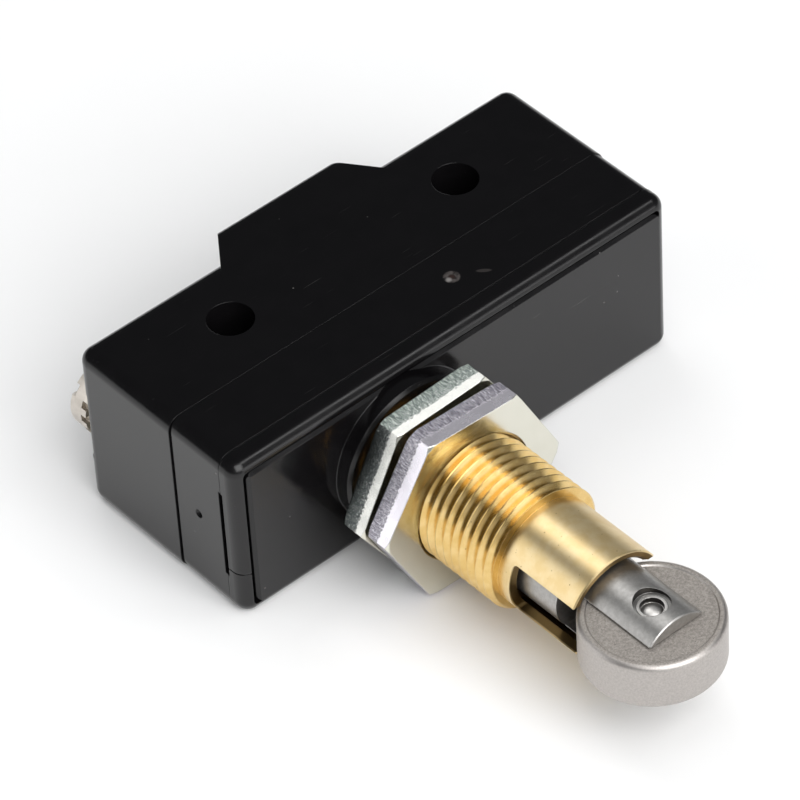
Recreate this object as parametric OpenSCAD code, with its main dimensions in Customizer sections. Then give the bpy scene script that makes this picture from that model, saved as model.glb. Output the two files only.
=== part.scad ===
// Roller plunger limit switch, panel mounted.
// X runs along the body, the plunger points to -Y and the terminals to +Y.
// Z is up from the wide face that the switch lies on.
// The origin is midway between the two mounting holes, on that face.

/* [Body] */
// Length of the case
body_l = 49; // [47:0.1:54]
// Thickness across the two wide faces
body_t = 17.45; // [17:0.05:20]
// Mounting-hole line to the front face
front_depth = 14.3; // [14:0.1:17]
// Mounting-hole line to the rear shoulders
shoulder_depth = 6.35; // [5.8:0.05:8]
// Mounting-hole line to the rear of the centre hump
hump_depth = 9.7; // [9.2:0.1:12]
// Width of the hump at the shoulders
hump_base_w = 17.1; // [15.5:0.1:19]
// Width of the hump at its rear
hump_top_w = 12.2; // [10.5:0.1:14]
// Mounting-hole line to the seam between case and cover
seam_depth = 5.9; // [5.5:0.1:6.5]
// Radius of the moulded outer edges
edge_r = 1.3; // [0.8:0.1:1.5]
// Wall thickness of the case and the cover
wall = 1.9; // [1.6:0.1:2.1]
// Open joint at the seam
seam_gap = 0.06; // [0.03:0.01:0.3]
// Width and depth of the groove along the seam at the two ends
seam_groove = 0.18; // [0.1:0.02:0.3]
// Length of the case's lip inside the cover
lip_l = 1; // [0.6:0.1:1.4]
// Thickness of that lip
lip_t = 0.8; // [0.6:0.1:1]
// Step at each end from the case down to the cover
cover_step = 0.14; // [0.05:0.01:0.2]
// Step at each end from the cover up to its front strip
strip_step = 0.06; // [0.05:0.01:0.15]
// Width of the front strip
strip_w = 2; // [1.8:0.1:2.6]
// Width and depth of the fine line behind the front strip
strip_line = 0.12; // [0.08:0.01:0.2]

/* [Mounting holes] */
// Distance between the two mounting holes
hole_pitch = 25.4; // [25:0.1:27]
// Diameter of the mounting holes
hole_d = 4.2; // [4:0.1:4.6]
// Width of the solid column around each hole
column_w = 8.5; // [7.8:0.1:9]
// Mounting-hole line to the front of the columns
column_front = 3.6; // [3.3:0.1:3.7]

/* [Front plate] */
// Thickness of the front plate
plate_t = 2.4; // [2.2:0.1:2.6]
// Width of the cover's rim around the plate
plate_rim = 1; // [0.9:0.05:1.5]
// Open joint above the plate, which rests on the rim below it
plate_top_gap = 0.42; // [0.1:0.02:0.6]
// Open joint at the plate's left end; its right end sits against the rim
plate_end_gap = 0.44; // [0.2:0.02:0.6]
// Chamfer of the collar's front edge and of the plate's top and left edges
plate_chamfer = 0.3; // [0.15:0.05:0.4]
// Radius of the corners of the opening for the plate
plate_corner_r = 0.5; // [0.3:0.05:0.8]
// Diameter of the round collar
collar_d = 14.8; // [14.2:0.1:15.4]
// Height of the collar above the plate
collar_h = 1.65; // [1:0.05:2.6]
// Fillet at the foot of the collar
collar_fillet = 0.1; // [0.05:0.05:0.5]
// Height of the snap tongues and of the slits they fill
tongue_w = 9.4; // [8:0.1:11]
// Thickness of the snap tongues
tongue_t = 0.5; // [0.3:0.05:0.6]
// Reach of the snap tongues into the slits
tongue_l = 0.7; // [0.5:0.1:0.9]
// Diameter of the mould dimple on the left end
dimple_d = 0.9; // [0.6:0.1:1.2]
// Height of the parting line across the left front corner
corner_line_z = 4.8; // [4:0.1:6]

/* [Bushing and nuts] */
// Offset of the plunger axis from the middle, towards the left end
plunger_offset = 6.4; // [5.5:0.1:7]
// Outer diameter of the bushing's thread
thread_d = 12; // [11.6:0.1:12.4]
// Pitch of the thread
thread_pitch = 1; // [0.75:0.25:1.5]
// Depth of the thread
thread_depth = 0.56; // [0.4:0.02:0.6]
// Length of the thread in front of the collar
thread_l = 16.05; // [13:0.05:18]
// Diameter of the plain nose
nose_d = 10.3; // [10:0.1:11]
// Length of the plain nose
nose_l = 8.6; // [8:0.1:10]
// Width of the slots in the nose
nose_slot_w = 5.1; // [5:0.05:5.4]
// Length of the slots in the nose
nose_slot_l = 7.2; // [6.6:0.1:7.8]
// Corner radius of the slots
nose_slot_r = 0.4; // [0.2:0.1:1.2]
// Length of the bore that guides the plunger
guide_l = 10.6; // [9:0.1:12]
// Diameter of the wide bore behind it
chamber_d = 9.4; // [9.2:0.1:9.8]
// Chamfer of the turned edges
turned_edge = 0.1; // [0.05:0.05:0.3]
// Diameter of the bushing's rear flange
flange_d = 13.4; // [13:0.1:13.6]
// Thickness of that flange
flange_t = 1; // [0.9:0.1:1.3]
// Hexagon nuts, across flats
nut_af = 16.9; // [15.9:0.1:17.4]
// Thickness of the nuts
nut_t = 2.5; // [2:0.1:2.8]
// Chamfer across the corners of the nuts
nut_chamfer = 0.35; // [0.1:0.05:0.6]
// Countersink of the nuts' threads
nut_sink = 0.2; // [0.1:0.05:0.6]
// Gap from the collar to the rear nut
rear_nut_gap = 1.8; // [0.4:0.05:2.4]
// Gap between the two nuts
nut_gap = 0.6; // [0.4:0.1:1.2]
// Turn of the rear nut, in degrees
rear_nut_turn = 2.2; // [-3:0.1:3]
// Turn of the front nut, in degrees
front_nut_turn = -2.75; // [-3:0.05:3]

/* [Plunger and roller] */
// Diameter of the plunger
plunger_d = 7.7; // [7.5:0.1:7.9]
// Length of the plunger's stop collar
stop_l = 3; // [2:0.1:4]
// Nose end to the roller's axis
roller_reach = 4.54; // [4.3:0.02:5]
// Roller's axis to the plunger's tip
cheek_l = 2.86; // [2.4:0.02:3.4]
// Diameter of the roller
roller_d = 12.4; // [12:0.1:12.8]
// Width of the roller
roller_w = 4.8; // [4.5:0.1:4.8]
// Gap from the roller to the bottom of its fork
roller_gap = 1.24; // [0.8:0.02:1.6]
// Radius of the roller's edges
roller_edge_r = 0.55; // [0.2:0.05:0.6]
// Width of the roller's raised rim
roller_rim = 0.8; // [0.5:0.05:1]
// Depth of the roller's faces below that rim
roller_recess = 0.12; // [0.05:0.01:0.2]
// Diameter of the roller pin
pin_d = 2.6; // [2.2:0.1:2.7]
// How far the pin's ends lie below the plunger's crown
pin_sink = 0.7; // [0.5:0.05:0.9]
// Diameter of the counterbores over the pin's ends
pin_mouth_d = 3.2; // [3:0.05:3.5]
// Width of the ring at the pin's ends
pin_ring = 0.27; // [0.2:0.01:0.35]
// Depth of the recess inside that ring
pin_recess = 0.55; // [0.3:0.05:0.6]
// Diameter of the dome in that recess
pin_dome_d = 1.86; // [1.6:0.02:1.9]
// Height of that dome
pin_dome_h = 0.34; // [0.15:0.01:0.5]
// Travel of the plunger
travel = 4; // [3:0.1:4.2]
// Diameter of the plunger's spring bore
spring_bore_d = 5.4; // [5.2:0.1:5.6]
// Depth of the plunger's spring bore
spring_bore_l = 8; // [7.6:0.1:8.4]

/* [Inner push train] */
// Diameter of the pusher's stem
pusher_d = 3; // [2.6:0.1:3.2]
// Diameter of the pusher's head
pusher_head_d = 5; // [4.6:0.1:5.1]
// Thickness of the pusher's head
pusher_head_t = 1.2; // [0.8:0.1:1.4]
// How far the pusher's head lies inside the plunger
pusher_inset = 0.4; // [0.2:0.1:0.6]
// Length of the guide bush inside the bushing
bush_l = 5.6; // [5:0.1:6]
// Diameter of the guide bush's rear flange
bush_flange_d = 10.8; // [10:0.1:12]
// Thickness of the guide bush's rear flange
bush_flange_t = 0.8; // [0.6:0.1:0.9]
// Diameter of the guide bush's tube, which stops the plunger
bush_tube_d = 6.6; // [6.2:0.1:7]
// Length of the button's stem inside the guide bush
button_stem_l = 3.9; // [3:0.1:4.5]
// Diameter of the button's head
button_d = 4.4; // [4:0.1:5]
// Travel of the button at the plunger's full travel
button_travel = 0.4; // [0.3:0.02:0.5]

/* [Springs] */
// Wire diameter of the return spring
return_wire_d = 0.6; // [0.4:0.05:0.7]
// Mean diameter of the return spring
return_mean_d = 8.1; // [7.8:0.1:8.4]
// Turns of the return spring
return_turns = 7; // [5:0.5:8]
// Wire diameter of the overtravel spring
over_wire_d = 0.5; // [0.3:0.05:0.55]
// Mean diameter of the overtravel spring
over_mean_d = 4.2; // [3.8:0.1:4.4]
// Turns of the overtravel spring
over_turns = 5; // [4:0.5:6]

/* [Switch mechanism] */
// Mounting-hole line to the middle of the blade
blade_depth = 7.6; // [7.4:0.05:7.8]
// Thickness of the blade
blade_t = 0.3; // [0.2:0.05:0.4]
// Width of the blade
blade_w = 8; // [7:0.1:9]
// Body's left end to the blade's pivot
pivot_inset = 4.7; // [4.4:0.1:5.6]
// Reach of the pivot tab in front of the blade
pivot_h = 1.05; // [0.8:0.05:1.3]
// Gap from the blade to the common terminal's plate
com_gap = 1.25; // [1.2:0.05:1.4]
// Body's right end to the contacts
contact_inset = 7; // [6.6:0.1:8.6]
// Blade left beyond its pivot
blade_end_bar = 1; // [0.8:0.1:1.2]
// Blade left beyond the moving contact
blade_tip_margin = 0.3; // [0.2:0.05:0.5]
// Gap beside the bowed tongue
blade_leg_gap = 0.4; // [0.3:0.05:0.6]
// Diameter of the contacts
contact_d = 3.2; // [2.6:0.1:3.6]
// Height of the moving contact's faces above the blade
contact_h = 0.8; // [0.5:0.1:1]
// Blade window's right end, right of the middle
tongue_root = 10; // [8:0.1:12]
// Blade window's left end, left of the middle
window_end = 3.8; // [3.4:0.1:4.2]
// Width of the bowed tongue
tongue_blade_w = 2.4; // [1.8:0.1:3]
// Rise of the bowed tongue
tongue_bow = 1; // [0.6:0.1:1.4]
// Thickness of the terminal strips
strip_t = 0.8; // [0.6:0.1:1]
// Width of the terminal strips
strip_span = 6; // [5:0.1:7]

/* [Terminals] */
// Body's ends to the end terminal screws
terminal_inset = 3.8; // [3.75:0.05:4.4]
// Length of the terminal pads along the body
pad_l = 6; // [5.9:0.1:6.4]
// Width of the terminal pads across the body
pad_w = 7.2; // [6.6:0.1:7.6]
// Thickness of the terminal pads
pad_t = 0.9; // [0.7:0.1:1.2]
// Depth of the seats that the pads lie in
seat_depth = 0.9; // [0.7:0.1:1]
// Diameter of the threaded bosses
boss_d = 5.8; // [5.4:0.1:6]
// Length of the threaded bosses
boss_l = 3.4; // [3:0.1:3.8]
// Nominal diameter of the terminal screws
screw_d = 4; // [3.5:0.1:4.2]
// Length of the screws under the head
screw_l = 5.7; // [4.5:0.1:6.5]
// Diameter of the screw heads
head_d = 7; // [6.4:0.1:7.6]
// Height of the screw heads
head_h = 2.4; // [2:0.1:2.6]
// Height of the heads at their rim
head_rim_h = 1.4; // [1:0.1:1.8]
// Width of the screwdriver slots
slot_w = 1.1; // [0.8:0.1:1.3]
// Depth of the screwdriver slots
slot_depth = 1.4; // [1.1:0.1:1.6]
// Turn of the screwdriver slots, in degrees
slot_turn = 35; // [0:1:90]
// Diameter of the toothed washers
washer_d = 7.1; // [6.8:0.1:7.6]
// Thickness of the toothed washers
washer_t = 0.7; // [0.5:0.1:0.9]
// Play of the washers around the screws
washer_play = 0.15; // [0.1:0.05:0.3]
// Teeth of each washer
washer_teeth = 16; // [10:1:20]

/* [Fits] */
// Radial play of turning and sliding pieces
running_fit = 0.04; // [0.02:0.01:0.08]
// Play between pieces that are fixed together
seat_fit = 0.02; // [0.01:0.01:0.05]
// Side play of the roller in its fork
fork_play = 0.1; // [0.05:0.01:0.15]
// Play between moulded housing pieces
mould_fit = 0.08; // [0.05:0.01:0.12]
// Air left between contacts and at stops
contact_air = 0.06; // [0.04:0.01:0.1]

/* [Hidden] */
$fn = 64;
eps = 0.01;

phenolic = [0.055, 0.055, 0.06];
brass = [0.80, 0.63, 0.30];
zinc = [0.72, 0.74, 0.72];
steel = [0.52, 0.51, 0.50];
sintered = [0.60, 0.57, 0.54];
spring_steel = [0.45, 0.45, 0.47];
silver = [0.85, 0.85, 0.83];
copper = [0.75, 0.50, 0.32];
nickel = [0.76, 0.74, 0.70];
red_phenolic = [0.35, 0.10, 0.07];

// Body planes
case_half_l = body_l / 2;
cover_half_l = case_half_l - cover_step;
strip_half_l = cover_half_l + strip_step;
cavity_half_l = case_half_l - wall;
cavity_z0 = wall;
cavity_z1 = body_t - wall;
axis_x = -plunger_offset;
axis_z = body_t / 2;
column_x = hole_pitch / 2;
column_end = column_x + column_w / 2;
terminal_offset = case_half_l - terminal_inset;
pivot_offset = case_half_l - pivot_inset;
contact_offset = case_half_l - contact_inset;
pocket_depth = shoulder_depth - seat_depth - wall;
hump_pocket_depth = hump_depth - seat_depth - wall;
far = 2 * body_l;

// Front plate and the cover's opening for it
opening_x = strip_half_l - plate_rim;
plate_x0 = plate_end_gap - opening_x;
plate_x1 = opening_x - seat_fit;
plate_z0 = plate_rim + seat_fit;
plate_z1 = body_t - plate_rim - plate_top_gap;

// Distances forward of the mounting-hole line, along the plunger
plate_back = front_depth - plate_t;
collar_front = front_depth + collar_h;
thread_end = collar_front + thread_l;
nose_end = thread_end + nose_l;
stop_face = nose_end - guide_l;
slot_end = nose_end - nose_slot_l;
roller_centre = nose_end + roller_reach;
plunger_tip = roller_centre + cheek_l;
plunger_back = stop_face - stop_l;
fork_w = roller_w + 2 * fork_play;
fork_bottom = roller_centre - roller_d / 2 - roller_gap;
flange_back = plate_back - flange_t;
bush_front = flange_back + bush_l;
bush_back = flange_back - bush_flange_t;
button_front = bush_back + button_stem_l;
pusher_front = plunger_back + pusher_inset + pusher_head_t;
spring_bore_end = plunger_back + spring_bore_l;
blade_front = blade_depth + blade_t / 2;
blade_back = blade_depth - blade_t / 2;
button_back = blade_front + contact_air;
rear_nut_back = collar_front + rear_nut_gap;
front_nut_back = rear_nut_back + nut_t + nut_gap;

// Flat left on the thread's crests
thread_crest = thread_pitch / 8;

// Blade motion and fixed contacts
blade_tip_travel = button_travel * (contact_offset + pivot_offset) / (pivot_offset - plunger_offset);
nc_face = blade_front + contact_h + contact_air;
no_face = blade_back - contact_h - blade_tip_travel - 2 * contact_air;
nc_strip_back = nc_face + contact_h;
no_strip_front = no_face - contact_h;
strip_wall_x = cavity_half_l - strip_t;
com_plate_front = blade_back - com_gap;
pivot_reach = blade_front + pivot_h;

function unit(v) = v / norm(v);

// Convex outline with every corner rounded to radius r.
module rounded_polygon(points, r) {
    n = len(points);
    corners = [
        for (i = [0 : n - 1])
            let (
                p = points[i],
                a = unit(points[(i + n - 1) % n] - p),
                b = unit(points[(i + 1) % n] - p),
                half = acos(a * b) / 2
            )
            [p + a * r / tan(half), p + b * r / tan(half), p + unit(a + b) * r / sin(half)]
    ];
    polygon([for (c = corners) each [c[0], c[1]]]);
    for (c = corners) translate(c[2]) circle(r);
}

module rounded_rect(lo, hi, r) {
    rounded_polygon([lo, [hi.x, lo.y], hi, [lo.x, hi.y]], r);
}

// Extrusion along X of an outline drawn in Y and Z.
module along_x(x0, x1) {
    translate([x0, 0, 0]) rotate([90, 0, 90]) linear_extrude(x1 - x0) children();
}

// Extrusion along Y of an outline drawn in X and Z.
module along_y(y0, y1) {
    translate([0, y1, 0]) rotate([90, 0, 0]) linear_extrude(y1 - y0) children();
}

module box(lo, hi) {
    translate(lo) cube(hi - lo);
}

// Box with rounded edges and ball corners.
module rounded_box(lo, hi, r) {
    along_x(lo.x + r, hi.x - r) rounded_rect([lo.y, lo.z], [hi.y, hi.z], r);
    along_y(lo.y + r, hi.y - r) rounded_rect([lo.x, lo.z], [hi.x, hi.z], r);
    for (x = [lo.x + r, hi.x - r], y = [lo.y + r, hi.y - r]) {
        translate([x, y, lo.z + r]) cylinder(r = r, h = hi.z - lo.z - 2 * r);
        for (z = [lo.z + r, hi.z - r]) translate([x, y, z]) rotate([90, 0, 0]) sphere(r);
    }
}

// Frame of the plunger: local z is the distance forward of the hole line.
module on_plunger_axis() {
    translate([axis_x, 0, axis_z]) rotate([90, 0, 0]) children();
}

// Frame of a terminal: local z points rearwards from the hole line.
module on_terminal_axis(x) {
    translate([x, 0, axis_z]) rotate([-90, 0, 0]) children();
}

// Whole outer block of the housing without the hump, between two Y planes.
module housing_slice(half_l, y0, y1) {
    intersection() {
        rounded_box([-half_l, -front_depth, 0], [half_l, shoulder_depth, body_t], edge_r);
        box([-far, y0, -far], [far, y1, far]);
    }
}

// Centre hump; its flanks run on down inside the block, to the hole line.
module hump() {
    base = hump_base_w / 2;
    top = hump_top_w / 2;
    root = top + (base - top) * hump_depth / (hump_depth - shoulder_depth);
    intersection() {
        linear_extrude(body_t)
            rounded_polygon([[-root, 0], [root, 0], [top, hump_depth], [-top, hump_depth]], edge_r / 2);
        along_x(-far, far) rounded_rect([-edge_r, 0], [hump_depth, body_t], edge_r);
    }
}

// Hollow inside of the case: a front trough and three pockets between the hole columns.
module case_pockets() {
    centre_in = column_x - column_w / 2;
    hump_in = hump_top_w / 2 - wall;
    box([-cavity_half_l, -far, cavity_z0], [cavity_half_l, -column_front, cavity_z1]);
    for (s = [-1, 1])
        box([min(s * column_end, s * cavity_half_l), -column_front - eps, cavity_z0],
            [max(s * column_end, s * cavity_half_l), pocket_depth, cavity_z1]);
    box([-centre_in, -column_front - eps, cavity_z0], [centre_in, pocket_depth, cavity_z1]);
    box([-hump_in, 0, cavity_z0], [hump_in, hump_pocket_depth, cavity_z1]);
}

module terminal_seats() {
    seat_half = pad_w / 2 + mould_fit;
    seat_in = terminal_offset - pad_l / 2 - mould_fit;
    for (m = [0, 1]) mirror([m, 0, 0])
        box([seat_in, shoulder_depth - seat_depth, axis_z - seat_half], [far, far, axis_z + seat_half]);
    box([-hump_top_w, hump_depth - seat_depth, axis_z - seat_half], [hump_top_w, far, axis_z + seat_half]);
    for (x = [-terminal_offset, 0, terminal_offset])
        on_terminal_axis(x) cylinder(d = boss_d + 2 * seat_fit, h = far);
}

module base_case() {
    lip_out = wall - lip_t;
    color(phenolic) difference() {
        union() {
            housing_slice(case_half_l, -seam_depth, far);
            hump();
            box([-case_half_l + lip_out, -seam_depth - lip_l, lip_out],
                [case_half_l - lip_out, 0, body_t - lip_out]);
        }
        case_pockets();
        terminal_seats();
        for (s = [-1, 1])
            translate([s * column_x, 0, -eps]) cylinder(d = hole_d, h = body_t + 2 * eps);
    }
}

module front_cover() {
    strip_y = strip_w - front_depth;
    rebate = wall - lip_t - mould_fit;
    color(phenolic) difference() {
        union() {
            housing_slice(cover_half_l, strip_y - eps, -seam_depth - seam_gap);
            housing_slice(strip_half_l, -far, strip_y);
        }
        box([-cavity_half_l, -far, cavity_z0], [cavity_half_l, far, cavity_z1]);
        along_y(-far, -plate_back)
            rounded_rect([-opening_x, plate_rim], [opening_x, body_t - plate_rim], plate_corner_r);
        on_plunger_axis() translate([0, 0, plate_back]) cylinder(d = collar_d + 2 * mould_fit, h = far);
        box([-case_half_l + rebate, -seam_depth - lip_l - mould_fit, rebate],
            [case_half_l - rebate, far, body_t - rebate]);
        box([-far, -plate_back - tongue_t - mould_fit, axis_z - tongue_w / 2 - mould_fit],
            [far, -plate_back, axis_z + tongue_w / 2 + mould_fit]);
        difference() {
            box([-far, strip_y, -far], [far, strip_y + strip_line, far]);
            rounded_box([strip_line - cover_half_l, -far, strip_line],
                        [cover_half_l - strip_line, far, body_t - strip_line], edge_r);
        }
        difference() {
            box([-far, -far, corner_line_z], [-opening_x, strip_y, corner_line_z + strip_line]);
            rounded_box([strip_line / 2 - strip_half_l, strip_line / 2 - front_depth, -far], [far, far, far],
                        edge_r);
        }
        for (m = [0, 1]) mirror([m, 0, 0])
            box([cover_half_l - seam_groove, -seam_depth - seam_groove, -far], [far, far, far]);
        translate([-cover_half_l - eps, -(seam_depth + plate_back) / 2, axis_z])
            rotate([0, 90, 0]) cylinder(d1 = dimple_d, d2 = dimple_d / 3, h = dimple_d / 2);
    }
}

// Flat part of the front plate, chamfered along its top and left edges.
module plate_block() {
    chamfer_y = plate_chamfer - front_depth;
    intersection() {
        along_y(-front_depth, -plate_back)
            rounded_rect([plate_x0, plate_z0], [plate_x1, plate_z1], plate_corner_r + 2 * mould_fit);
        along_x(-far, far) polygon([
            [-plate_back, plate_z0], [-plate_back, plate_z1], [chamfer_y, plate_z1],
            [-front_depth, plate_z1 - plate_chamfer], [-front_depth, plate_z0]
        ]);
        linear_extrude(body_t) polygon([
            [plate_x1, -front_depth], [plate_x1, -plate_back], [plate_x0, -plate_back],
            [plate_x0, chamfer_y], [plate_x0 + plate_chamfer, -front_depth]
        ]);
    }
}

module actuator_plate() {
    r = collar_d / 2;
    foot_r = r + collar_fillet;
    fillet_end = front_depth + collar_fillet;
    color(phenolic) difference() {
        union() {
            plate_block();
            box([plate_x0 - tongue_l, -plate_back - tongue_t, axis_z - tongue_w / 2],
                [plate_x1 + tongue_l, -plate_back, axis_z + tongue_w / 2]);
            on_plunger_axis() rotate_extrude() polygon([
                [0, plate_back], [r, plate_back], [r, collar_front - plate_chamfer],
                [r - plate_chamfer, collar_front], [0, collar_front]
            ]);
            intersection() {
                on_plunger_axis() rotate_extrude() difference() {
                    polygon([[0, plate_back], [foot_r, plate_back], [foot_r, front_depth], [r, fillet_end],
                             [0, fillet_end]]);
                    translate([foot_r, fillet_end]) circle(collar_fillet);
                }
                box([-far, -far, plate_z0], [far, -plate_back, plate_z1 - plate_chamfer]);
            }
        }
        on_plunger_axis() cylinder(d = thread_d + 2 * seat_fit, h = far);
    }
}

// Outline of the thread as ring grooves, up to the thread's front end.
function thread_outline(r) = [
    for (i = [floor(thread_l / thread_pitch) : -1 : 1])
        let (z = thread_end - i * thread_pitch, flank = (thread_pitch - thread_crest) / 2)
        each [[r, z], [r - thread_depth, z + flank], [r, z + 2 * flank]]
];

module threaded_bushing() {
    thread_r = thread_d / 2;
    nose_r = nose_d / 2;
    bore_r = plunger_d / 2 + running_fit;
    color(brass) difference() {
        on_plunger_axis() rotate_extrude() polygon([
            [chamber_d / 2, flange_back], [flange_d / 2, flange_back], [flange_d / 2, plate_back],
            [thread_r, plate_back], each thread_outline(thread_r), [thread_r, thread_end],
            [nose_r, thread_end], [nose_r, nose_end - turned_edge], [nose_r - turned_edge, nose_end],
            [bore_r, nose_end], [bore_r, stop_face], [chamber_d / 2, stop_face]
        ]);
        along_x(axis_x - thread_d, axis_x + thread_d)
            rounded_rect([-nose_end - nose_slot_l, axis_z - nose_slot_w / 2],
                         [-slot_end, axis_z + nose_slot_w / 2], nose_slot_r);
    }
}

module guide_bush() {
    body_r = chamber_d / 2 - seat_fit;
    tube_r = bush_tube_d / 2;
    tube_front = plunger_back - travel - contact_air;
    hole_r = pusher_d / 2 + running_fit;
    color(nickel) on_plunger_axis() rotate_extrude() polygon([
        [hole_r, bush_back], [bush_flange_d / 2, bush_back], [bush_flange_d / 2, flange_back],
        [body_r, flange_back], [body_r, bush_front], [tube_r, bush_front],
        [tube_r, tube_front], [hole_r, tube_front]
    ]);
}

// Thin hexagon nut with lightly chamfered corners, from its rear face forward.
module hex_nut(back, turn) {
    corner_r = nut_af / 2 / cos(30);
    face_r = corner_r - nut_chamfer;
    chamfer = nut_chamfer * tan(30);
    hole_r = thread_d / 2 + running_fit;
    on_plunger_axis() translate([0, 0, back]) difference() {
        intersection() {
            rotate([0, 0, turn]) cylinder(r = corner_r, h = nut_t, $fn = 6);
            rotate_extrude() polygon([
                [0, 0], [face_r, 0], [corner_r, chamfer], [corner_r, nut_t - chamfer],
                [face_r, nut_t], [0, nut_t]
            ]);
        }
        rotate_extrude() polygon([
            [0, -eps], [hole_r + nut_sink, -eps], [hole_r + nut_sink, 0], [hole_r, nut_sink],
            [hole_r, nut_t - nut_sink], [hole_r + nut_sink, nut_t], [hole_r + nut_sink, nut_t + eps],
            [0, nut_t + eps]
        ]);
    }
}

module rear_lock_nut() {
    color(zinc) hex_nut(rear_nut_back, rear_nut_turn);
}

module front_lock_nut() {
    color(zinc) hex_nut(front_nut_back, front_nut_turn);
}

module roller_plunger() {
    rod_r = plunger_d / 2;
    stop_r = chamber_d / 2 - 2 * running_fit;
    bore_r = spring_bore_d / 2;
    pin_hole_d = pin_d + 2 * seat_fit;
    color(steel) difference() {
        on_plunger_axis() rotate_extrude() polygon([
            [bore_r, plunger_back], [stop_r, plunger_back], [stop_r, stop_face - seat_fit],
            [rod_r, stop_face - seat_fit], [rod_r, plunger_tip - turned_edge],
            [rod_r - turned_edge, plunger_tip], [0, plunger_tip],
            [0, spring_bore_end], [bore_r, spring_bore_end]
        ]);
        box([-far, -far, axis_z - fork_w / 2], [far, -fork_bottom, axis_z + fork_w / 2]);
        translate([axis_x, -roller_centre, axis_z]) {
            cylinder(d = pin_hole_d, h = far, center = true);
            for (m = [0, 1]) mirror([0, 0, m]) translate([0, 0, rod_r - pin_sink])
                cylinder(d = pin_mouth_d, h = 2 * pin_sink);
        }
    }
}

// Roller with rounded edges and faces sunk inside a raised rim.
module roller() {
    r = roller_d / 2;
    h = roller_w / 2;
    edge = roller_edge_r;
    rim_r = r - roller_rim;
    hole_r = pin_d / 2 + running_fit;
    color(sintered) translate([axis_x, -roller_centre, axis_z]) rotate_extrude() difference() {
        union() {
            polygon([[hole_r, -h], [r - edge, -h], [r - edge, h], [hole_r, h]]);
            polygon([[hole_r, edge - h], [r, edge - h], [r, h - edge], [hole_r, h - edge]]);
            for (z = [edge - h, h - edge]) translate([r - edge, z]) circle(edge);
        }
        for (s = [-1, 1])
            polygon([[0, s * h], [rim_r + roller_recess, s * h], [rim_r, s * (h - roller_recess)],
                     [0, s * (h - roller_recess)]]);
    }
}

// Pin with a ring, a recess and a dome at each end.
module roller_pin() {
    r = pin_d / 2;
    half_l = plunger_d / 2 - pin_sink;
    recess_z = half_l - pin_recess;
    dome_r = (pow(pin_dome_d / 2, 2) + pin_dome_h * pin_dome_h) / (2 * pin_dome_h);
    color(steel) translate([axis_x, -roller_centre, axis_z]) {
        difference() {
            cylinder(r = r, h = 2 * half_l, center = true);
            for (m = [0, 1]) mirror([0, 0, m]) translate([0, 0, recess_z])
                cylinder(r = r - pin_ring, h = far);
        }
        for (m = [0, 1]) mirror([0, 0, m]) intersection() {
            translate([0, 0, recess_z + pin_dome_h - dome_r]) sphere(dome_r);
            translate([0, 0, recess_z - eps]) cylinder(d = pin_dome_d, h = pin_recess);
        }
    }
}

// Closed-end coil spring along local z, swept with an octagonal wire.
module coil_spring(z0, z1, mean_d, wire_d, turns) {
    sides = 8;
    per_turn = 20;
    wire_r = wire_d / 2;
    steps = turns * per_turn;
    free_l = z1 - z0 - wire_d;
    end_rise = wire_d * 1.05;
    middle_turns = turns - 2;
    pitch = (free_l - 2 * end_rise) / middle_turns;
    function height(t) =
        t < 1 ? t * end_rise :
        t > turns - 1 ? free_l - (turns - t) * end_rise :
        end_rise + (t - 1) * pitch;
    points = [
        for (i = [0 : steps], k = [0 : sides - 1])
            let (
                turn = i / per_turn,
                a = 360 * turn,
                b = 360 * k / sides,
                rad = mean_d / 2 + wire_r * cos(b)
            )
            [rad * cos(a), rad * sin(a), z0 + wire_r + height(turn) + wire_r * sin(b)]
    ];
    side_faces = [
        for (i = [0 : steps - 1], k = [0 : sides - 1])
            let (p = i * sides + k, q = i * sides + (k + 1) % sides)
            [p, q, q + sides, p + sides]
    ];
    first = [for (k = [0 : sides - 1]) sides - 1 - k];
    last = [for (k = [0 : sides - 1]) steps * sides + k];
    polyhedron(points, concat(side_faces, [first, last]), convexity = 10);
}

module return_spring() {
    color(spring_steel) on_plunger_axis()
        coil_spring(bush_front, plunger_back, return_mean_d, return_wire_d, return_turns);
}

module overtravel_spring() {
    color(spring_steel) on_plunger_axis()
        coil_spring(pusher_front, spring_bore_end, over_mean_d, over_wire_d, over_turns);
}

module inner_pusher() {
    color(steel) on_plunger_axis() {
        translate([0, 0, pusher_front - pusher_head_t]) cylinder(d = pusher_head_d, h = pusher_head_t);
        translate([0, 0, button_front]) cylinder(d = pusher_d, h = pusher_front - button_front - eps);
    }
}

module switch_button() {
    head_front = bush_back - contact_air;
    tip_r = button_d;
    color(red_phenolic) on_plunger_axis() {
        translate([0, 0, head_front - eps]) cylinder(d = pusher_d, h = button_front - head_front + eps);
        intersection() {
            translate([0, 0, button_back]) cylinder(d = button_d, h = head_front - button_back);
            translate([0, 0, button_back + tip_r]) sphere(tip_r);
        }
    }
}

// Bowed tongue of the blade: an arc strip from the window's right end to the spring tab.
module bowed_tongue() {
    root = [tongue_root + blade_t, -blade_depth];
    tip = [strip_t - window_end + 2.2 * blade_t + contact_air, -com_plate_front - 2 * blade_t];
    middle = (root + tip) / 2;
    chord = unit(root - tip);
    normal = [-chord.y, chord.x];
    half_chord = norm(root - tip) / 2;
    arc_r = (half_chord * half_chord + tongue_bow * tongue_bow) / (2 * tongue_bow);
    centre = middle - normal * (arc_r - tongue_bow);
    translate([0, 0, axis_z - tongue_blade_w / 2]) linear_extrude(tongue_blade_w) intersection() {
        translate(centre) difference() {
            circle(arc_r + blade_t / 2);
            circle(arc_r - blade_t / 2);
        }
        polygon([centre, centre + 2 * (root - centre), centre + 2 * normal * arc_r,
                 centre + 2 * (tip - centre)]);
    }
}

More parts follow.
